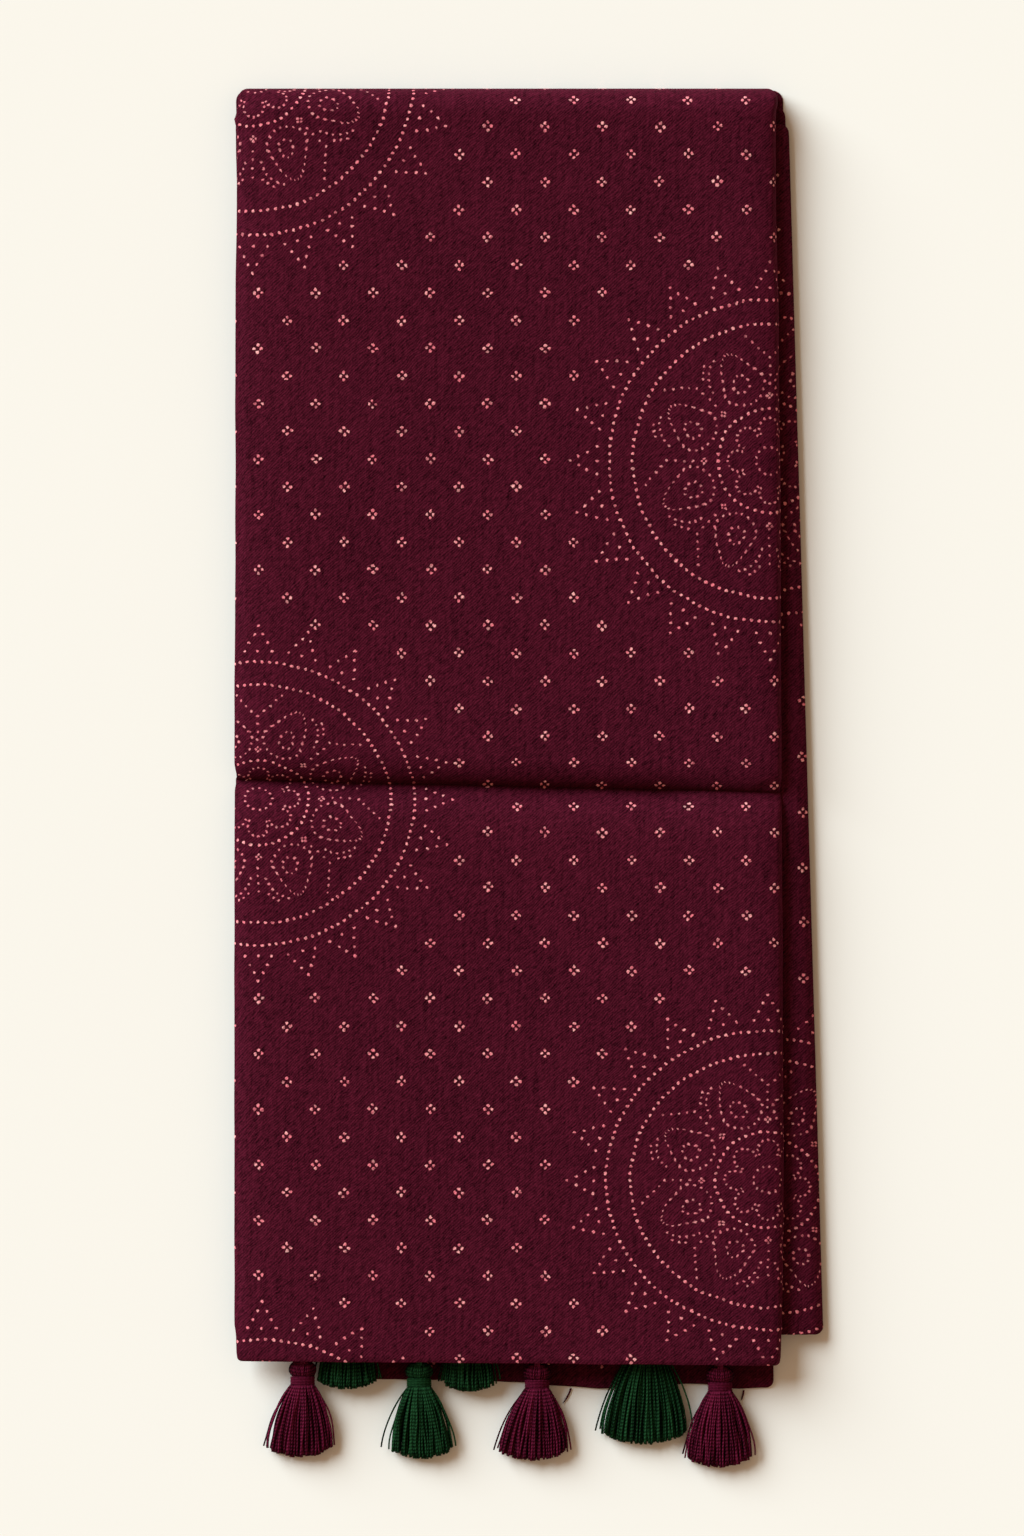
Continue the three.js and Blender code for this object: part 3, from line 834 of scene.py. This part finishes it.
def makeInnerLeaves():
    mesh = ([], [], [])
    for number, pack in enumerate(leafPacks):
        bottom, top, left, right, back, front, skew, folds = pack
        for fold in range(folds):
            low = bottom + (top - bottom) * fold / folds + (foldedEdge["gap"] if fold else 0)
            high = bottom + (top - bottom) * (fold + 1) / folds
            seed = 20 + number * 5 + fold
            short = foldedEdge["shorter"] * (fold % 2)
            outline = leafOutline(
                (front + short) * mm, (back - short) * mm, (left + short) * mm, (right - short) * mm,
                skew, foldedEdge["corner"], foldedEdge["step"], seed, foldedEdge["rough"],
            )
            outline = withBays(outline, front * mm)
            addSlab(mesh, outline, low * mm, high * mm, foldedEdge["insets"], 0.05 * mm, low < 0.01)
    piece = addMesh("innerLeaves", *mesh)
    piece.data.materials.append(innerFace)
    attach(piece, "root")
    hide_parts("hidden_layers")


sideLeaf = dict(
    left=98.5 * mm, right=149.7 * mm, back=350.6 * mm, front=-299.6 * mm,
    skew=0.0285,
    bottom=7.15 * mm,
    folds=((7.15, 8.3), (8.35, 9.55)),        # bottom and top of each, in mm
    corner=4.5 * mm, step=3.5 * mm, rough=0.35 * mm,
    insets=(1.5 * mm, 3 * mm, 5 * mm, 8 * mm, 12 * mm, 17 * mm),
    thin=0.6, thinWidth=5.5 * mm,     # how much flatter its right edge is pressed, and how far in that starts
    droop=3.4 * mm, droopWidth=7.0 * mm,
)


def makeSideLeaf():
    s = sideLeaf
    mesh = ([], [], [])
    for fold, (low, high) in enumerate(s["folds"]):
        outline = leafOutline(
            s["front"], s["back"], s["left"], s["right"] - 0.4 * mm * (1 - fold),
            s["skew"], s["corner"], s["step"], 40 + fold, s["rough"],
        )
        addSlab(mesh, outline, low * mm, high * mm, s["insets"], 0.2 * mm)
    points, faces, uvs = mesh
    for i, (x, y, z) in enumerate(points):
        away = max(s["right"] - s["skew"] * y - x, 0)
        press = 1 - s["thin"] * math.exp(-away / s["thinWidth"])
        droop = s["droop"] * max(1 - away / s["droopWidth"], 0) ** 2
        points[i] = (x, y, s["bottom"] + (z - s["bottom"]) * press - droop)
    piece = addMesh("sideLeaf", points, faces, uvs)
    piece.data.materials.append(clothFace)
    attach(piece, "root")
    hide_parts("side_fold")


underLeaf = dict(
    left=-104 * mm, right=131.5 * mm, back=-300.4 * mm, frontLeft=-323 * mm,
    folds=((0.0, 1.2), (1.25, 2.5)),
    corner=4 * mm, step=2.5 * mm, ripple=0.3 * mm,
    insets=(2 * mm, 4 * mm, 7 * mm),
)
underHem = [      # place across, edge of the fold that shows past the hem, in mm
    (-104, -323.2),
    (-78, -323.8),
    (-3, -325.3),
    (16, -327.3),
    (38, -328.7),
    (62, -328.3),
    (86, -326.3),
    (99, -326.4),
    (110, -328.9),
    (131.5, -328.2),
]


def makeUnderLeaf():
    s = underLeaf
    mesh = ([], [], [])
    for fold, (low, high) in enumerate(s["folds"]):
        outline = []
        for x in spaced(s["left"], s["right"] - s["corner"], s["step"]):
            ripple = s["ripple"] * wander(x, 0, 9 * mm, 50 + fold)
            outline.append((x, fromTable(underHem, 1, x / mm) * mm + ripple + 0.4 * mm * fold))
        outline += cornerArc(s["right"], outline[-1][1], s["corner"], 270)
        for y in spaced(outline[-1][1], s["back"], s["step"]):
            outline.append((s["right"] + s["ripple"] * wander(0, y, 9 * mm, 52), y))
        outline += [(x, s["back"]) for x in [s["right"] - 0.1 * mm] + spaced(s["right"], s["left"], 10 * mm)]
        outline += [(s["left"], y) for y in [s["back"]] + spaced(s["back"], s["frontLeft"], 5 * mm)]
        addSlab(mesh, outline, low * mm, high * mm, s["insets"], 0.12 * mm, fold == 0)
    piece = addMesh("underLeaf", *mesh)
    piece.data.materials.append(innerFace)
    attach(piece, "root")
    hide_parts("under_fold")


makeTopLeaf()
makeInnerLeaves()
makeSideLeaf()
makeUnderLeaf()
print("saree: cloth laid")


# tassels
tassels = [     # node, neck x, neck y, tip y, half spread, lean, lift, yarn; in mm
    ("tassel_1", -121.6, -325.0, -364.6, 18.4, -1.8, 0.0, "maroon"),
    ("tassel_2", -59.0, -326.0, -365.4, 17.8, 0.9, 0.0, "green"),
    ("tassel_3", 4.4, -326.8, -366.3, 19.6, -2.4, 0.0, "maroon"),
    ("tassel_4", 63.2, -304.6, -357.8, 24.6, -1.6, 0.0, "green"),
    ("tassel_5", 102.7, -328.2, -370.0, 18.6, -0.7, 0.0, "maroon"),
    ("tassel_6", -97.6, -293.6, -327.9, 16.8, 0.0, 2.6, "green"),
    ("tassel_7", -32.2, -294.4, -329.2, 15.0, 0.0, 2.6, "green"),
]
tasselMake = dict(
    yarn=(0.54, 0.74),    # yarn radius, from and to
    spreadShare=0.9,
    neckLevel=8.0, slope=0.4,     # the head slopes up to the hem it is tied to
    rootWide=5.7, rootHigh=3.5,
    layers=5, inLayer=27,
    headWide=7.5, headHigh=4.7, headBack=11.2, headFront=2.9,
    headYarns=38, headYarn=0.6,
    wraps=7, wrapsLong=5.0, wrapYarn=0.42, neckWide=6.3, neckHigh=4.1,
    coreInset=(1.1, 0.9),
    tipLevel=1.15, tipHigh=5.6,   # height of the lowest yarns' tips, and of the others above them
    lowest=0.95,
    nearStray=1.5, farStray=3.2,  # how far past the skirt the strays end
    strayYarn=0.8, endYarn=0.85,  # how thin a stray and a loose end are beside a yarn
    loops=(-1.3, -0.45, 0.45, 1.3), loopFrom=2.5, loopPastHem=2.2, loopUnder=1.3,
    bindingFirst=2000,            # yarns are numbered from one, and the turns of a binding from here
    sides=6, steps=14,
)
# the far strays at the left, -1, and the right, 1, that end elsewhere
farStrays = {("tassel_2", -1): 5.8, ("tassel_4", -1): 4.2, ("tassel_4", 1): 4.6, ("tassel_1", 1): 2.4}
looseEnds = dict(      # yarn ends that lie past the under fold: from x and y, to x and y, and bow, in mm
    tassel_3=(22.6, -328.6, 18.2, -336.9, 0.5),
    tassel_5=(115.5, -329.7, 114.1, -335.2, 0.2),
)
# each yarn's deep and lit colour: the deep one stands in for painted shade, and the mix between them also
# carries a tone that differs at random from yarn to yarn
yarnColours = dict(
    maroon=((0.0045, 0.0003, 0.0012), (0.136, 0.0091, 0.0350)),
    green=((0.0005, 0.0024, 0.0011), (0.0135, 0.0660, 0.0228)),
)


def yarnMaterial(name, deep, lit):
    material, tree, shader = newMaterial(name, 0.6, lit)
    turns, along = mapPlace(tree)     # turns round the yarn plus a number for each yarn, and metres along it
    along = along * 1000.0
    # the twist's stripes darken the yarn in its grooves as painted shade, and also raise its bumps
    ply = calc("SINE", (turns * 2.0 + along / 1.9) * (2 * math.pi)) * 0.5 + 0.5
    fibre = calc("SINE", (turns * 7.0 + along / 0.75) * (2 * math.pi)) * 0.5 + 0.5
    own = cloud(calc("FLOOR", turns), along * 0.02, 0.9, 1.0, 4.0)[1]
    fluff = cloud(turns * 3.0, along, 1.1, 2.0, 2.0)[0]
    # the binding is mixed paler, a painted highlight on its smooth wraps
    isBinding = calc("GREATER_THAN", turns, tasselMake["bindingFirst"] - 1.0)      # smoother and paler
    # painted shade: each yarn is darker at its sides, where it meets the next yarn
    paintedSideShade = (calc("FRACT", turns) * 4.0 - 1.0) * (1.0 - isBinding)   # nought on top of a yarn, 1 at its sides
    share = ply * 0.62 + fibre * 0.14 + own * 1.7 + fluff * 0.8 + isBinding * 0.3
    share = share - paintedSideShade * paintedSideShade * 0.9 - 0.98
    tree.links.new(mixColour(tree, share, deep, lit), shader.inputs["Base Color"])
    addBump(tree, shader, ply + fibre * 0.3 + fluff * 0.5, 0.8, 0.25 * mm)
    return material


yarnFaces = {name: yarnMaterial("yarn_" + name, *pair) for name, pair in yarnColours.items()}


def addYarn(mesh, path, radius, number, sides, taper=0.0):
    # a closed tube along the path; its map counts turns round and length along
    points, faces, uvs = mesh
    first = len(points)
    run = 0.0
    last = len(path) - 1
    for i, place in enumerate(path):
        ahead = path[min(i + 1, last)] - path[max(i - 1, 0)]
        forward = ahead.normalized()
        sideways = forward.cross(Vector((0, 0, 1)))
        if sideways.length < 0.05:
            sideways = forward.cross(Vector((1, 0, 0)))
        sideways.normalize()
        up = sideways.cross(forward)
        if i:
            run += (place - path[i - 1]).length
        size = radius * (1 - taper * (i / last) ** 6)
        for k in range(sides):
            turn = 2 * math.pi * k / sides
            points.append(place + sideways * size * math.cos(turn) + up * size * math.sin(turn))
            uvs.append((number + min(k, sides - k) / sides * 0.98, run))
    closeTube(faces, first, len(path), sides)


def headSwell(share):
    # how full the head is between its rounded top and the binding
    return math.sin(math.pi * (0.08 + share * 0.78)) ** 0.5


def skirtPath(row, u, w, stray):
    # u runs from -1 to 1 across the skirt and w from its lowest layer to its highest
    node, x, neck, tip, spread, lean, lift, yarn = row
    make = tasselMake
    length = neck - tip
    endX = spread * make["spreadShare"] * u + stray
    bow = random.uniform(-0.9, 0.9)
    wiggle = random.uniform(-0.35, 0.35)
    bowZ = random.uniform(-0.8, 0.8)
    drop = 0.13 * length * min((endX / spread) ** 2, 1.1) + random.uniform(-1.3, 1.1)
    path = []
    for i in range(make["steps"] + 1):
        share = i / make["steps"]
        fan = 0.5 * (1 - (1 - share) ** 2.6) + 0.5 * (1 - (1 - share) ** 1.25)
        wave = math.sin(math.pi * share)
        px = x + make["rootWide"] * u * (1 - fan) * 0.94 + endX * fan + lean * share + bow * wave
        px += wiggle * math.sin(3 * math.pi * share)
        py = neck - 1.0 + (tip + drop - neck + 1.0) * share
        tipLevel = make["tipLevel"] + lift + (w + 1) / 2 * make["tipHigh"]
        rootHigh = make["rootHigh"] * math.sqrt(max(1 - 0.75 * u * u, 0.1))
        rootLevel = make["neckLevel"] - make["slope"] + w * rootHigh
        ease = share ** 1.4
        pz = rootLevel * (1 - ease) + tipLevel * ease + bowZ * wave + 0.7 * wave * w
        path.append(Vector((px * mm, py * mm, max(pz, make["lowest"] + lift * 0.6) * mm)))
    return path


def makeTassel(row):
    node, x, neck, tip, spread, lean, lift, yarn = row
    make = tasselMake
    mesh = ([], [], [])
    number = 0
    for layer in range(make["layers"]):
        w = -1 + 2 * layer / (make["layers"] - 1)
        count = make["inLayer"] - (2 if layer in (0, make["layers"] - 1) else 0)
        for i in range(count):
            u = (2 * (i + 0.5) / count - 1) + random.uniform(-0.05, 0.05)
            u *= 1.0 if abs(w) < 0.9 else 0.93
            number += 1
            path = skirtPath(row, u, w, random.uniform(-0.7, 0.7))
            addYarn(mesh, path, random.uniform(*make["yarn"]) * mm, number, make["sides"])
    for side in (-1, 1):
        for stray in (make["nearStray"], farStrays.get((node, side), make["farStray"])):
            number += 1
            path = skirtPath(row, side * 0.98, 0.2, side * (stray + random.uniform(-0.4, 0.4)))
            addYarn(mesh, path, make["yarn"][0] * make["strayYarn"] * mm, number, make["sides"])
    if node in looseEnds:
        fromX, fromY, toX, toY, bow = looseEnds[node]
        path = []
        for k in range(8):
            share = k / 7
            px = fromX + (toX - fromX) * share + bow * math.sin(math.pi * share)
            path.append(Vector((px * mm, (fromY + (toY - fromY) * share) * mm, 0.8 * mm)))
        number += 1
        addYarn(mesh, path, make["yarn"][0] * make["endYarn"] * mm, number, make["sides"], 0.8)
    # the gathered head: loops that run over it from the top down to the binding
    for i in range(make["headYarns"]):
        turn = 2 * math.pi * (i + random.uniform(-0.2, 0.2)) / make["headYarns"]
        twist = random.uniform(-0.16, 0.16)
        path = []
        for k in range(13):
            share = k / 12
            py = neck + make["headBack"] - (make["headBack"] - make["headFront"]) * share
            swell = headSwell(share)
            here = turn + twist * (share - 0.5)
            px = x + (make["headWide"] - make["headYarn"]) * swell * math.cos(here)
            level = make["neckLevel"] + make["slope"] * (py - neck)
            pz = level + (make["headHigh"] - make["headYarn"]) * swell * math.sin(here)
            path.append(Vector((px * mm, py * mm, pz * mm)))
        number += 1
        addYarn(mesh, path, make["headYarn"] * mm, number, make["sides"])
    addHeadCore(mesh, row)
    # the binding, wound side by side
    for i in range(make["wraps"]):
        off = make["wrapsLong"] / 2 - make["wrapsLong"] * i / (make["wraps"] - 1)
        middle = Vector((x, neck + off, make["neckLevel"] + make["slope"] * off))
        addWrap(mesh, middle, make, make["bindingFirst"] + i)
    # the loop that ties it under the hem
    hem = hemAt(x * mm) / mm
    if neck < hem:
        along = make["headBack"] - make["loopFrom"]
        start = make["neckLevel"] + make["slope"] * along
        for side in make["loops"]:
            path = []
            for k in range(9):
                share = k / 8
                py = neck + along + (hem + make["loopPastHem"] - neck - along) * share ** 1.6
                pz = start + (topLeaf["face"] / mm - make["loopUnder"] - start) * share
                path.append(Vector(((x + side * (1 - 0.3 * share)) * mm, py * mm, pz * mm)))
            number += 1
            addYarn(mesh, path, make["headYarn"] * mm, number, make["sides"])
    piece = addMesh(node + "_yarns", *mesh)
    piece.data.materials.append(yarnFaces[yarn])
    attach(piece, "root")
    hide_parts(node)


def addHeadCore(mesh, row):
    # what fills the head and the binding, just under the yarns
    points, faces, uvs = mesh
    node, x, neck, tip, spread, lean, lift, yarn = row
    make = tasselMake
    first = len(points)
    rings = 15
    sides = 20
    for k in range(rings):
        along = 0.7 + (make["headBack"] + 1.0) * k / (rings - 1)
        py = neck + make["headBack"] - along
        share = min(along / (make["headBack"] - make["headFront"]), 1)
        swell = headSwell(share) if share < 1 else 0.93
        for i in range(sides):
            turn = 2 * math.pi * i / sides
            px = x + (make["headWide"] - make["coreInset"][0]) * swell * math.cos(turn)
            level = make["neckLevel"] + make["slope"] * (py - neck)
            pz = level + (make["headHigh"] - make["coreInset"][1]) * swell * math.sin(turn)
            points.append(Vector((px * mm, py * mm, pz * mm)))
            uvs.append((0.3, py * mm))
    closeTube(faces, first, rings, sides)


def addWrap(mesh, middle, make, number):
    points, faces, uvs = mesh
    first = len(points)
    around = 32
    sides = 6
    for i in range(around):
        turn = 2 * math.pi * i / around
        place = middle + Vector((make["neckWide"] * math.cos(turn), 0, make["neckHigh"] * math.sin(turn)))
        out = Vector((math.cos(turn), 0, math.sin(turn)))
        for k in range(sides):
            small = 2 * math.pi * k / sides
            offset = out * math.cos(small) + Vector((0, math.sin(small), 0))
            points.append((place + offset * make["wrapYarn"]) * mm)
            uvs.append((number + 0.1 * k, min(i, around - i) * 1.1 * mm))
    for i in range(around):
        for k in range(sides):
            a = first + i * sides + k
            b = first + i * sides + (k + 1) % sides
            c = first + (i + 1) % around * sides + (k + 1) % sides
            d = first + (i + 1) % around * sides + k
            faces.append((a, b, c, d))


for row in tassels:
    makeTassel(row)
print("saree: tassels tied")


# floor, light and sky
studio = dict(
    floor=(0.925, 0.905, 0.855),
    sky=(1.0, 0.675, 0.435), skyStrength=0.368,
    key=5.42, keyColour=(0.829, 0.951, 1.0),
    keySoftness=45,                       # degrees
    keyFrom=(-0.676, 0.567, 0.469),
)


def addFloor():
    size = 8.0
    points = [(-size, -size, 0), (size, -size, 0), (size, size, 0), (-size, size, 0)]
    floor = addMesh("paleFloor", points, [(0, 1, 2, 3)])
    material, tree, shader = newMaterial("paleFloor", 0.9)
    place = tree.nodes.new("ShaderNodeTexCoord")
    split = tree.nodes.new("ShaderNodeSeparateXYZ")
    tree.links.new(place.outputs["Object"], split.inputs[0])
    grey = cloud(Val(tree, split.outputs[0]), Val(tree, split.outputs[1]), 3.0, 2.0, 0.0)[0]
    paler = tuple(min(1, part * 1.015) for part in studio["floor"])
    tree.links.new(mixColour(tree, grey, studio["floor"], paler), shader.inputs["Base Color"])
    floor.data.materials.append(material)


def addKey():
    data = bpy.data.lights.new("softKey", "SUN")
    data.energy = studio["key"]
    data.angle = math.radians(studio["keySoftness"])
    data.color = studio["keyColour"]
    light = bpy.data.objects.new("softKey", data)
    light.location = studio["keyFrom"]
    light.rotation_euler = Vector(studio["keyFrom"]).to_track_quat("Z", "Y").to_euler()
    bpy.context.scene.collection.objects.link(light)


def addSky():
    world = bpy.data.worlds.new("paleSky")
    world.use_nodes = True
    sky = world.node_tree.nodes["Background"]
    sky.inputs[0].default_value = (*studio["sky"], 1)
    sky.inputs[1].default_value = studio["skyStrength"]
    bpy.context.scene.world = world


addFloor()
addKey()
addSky()
bpy.context.scene.view_settings.view_transform = "Standard"
print("saree: lit")
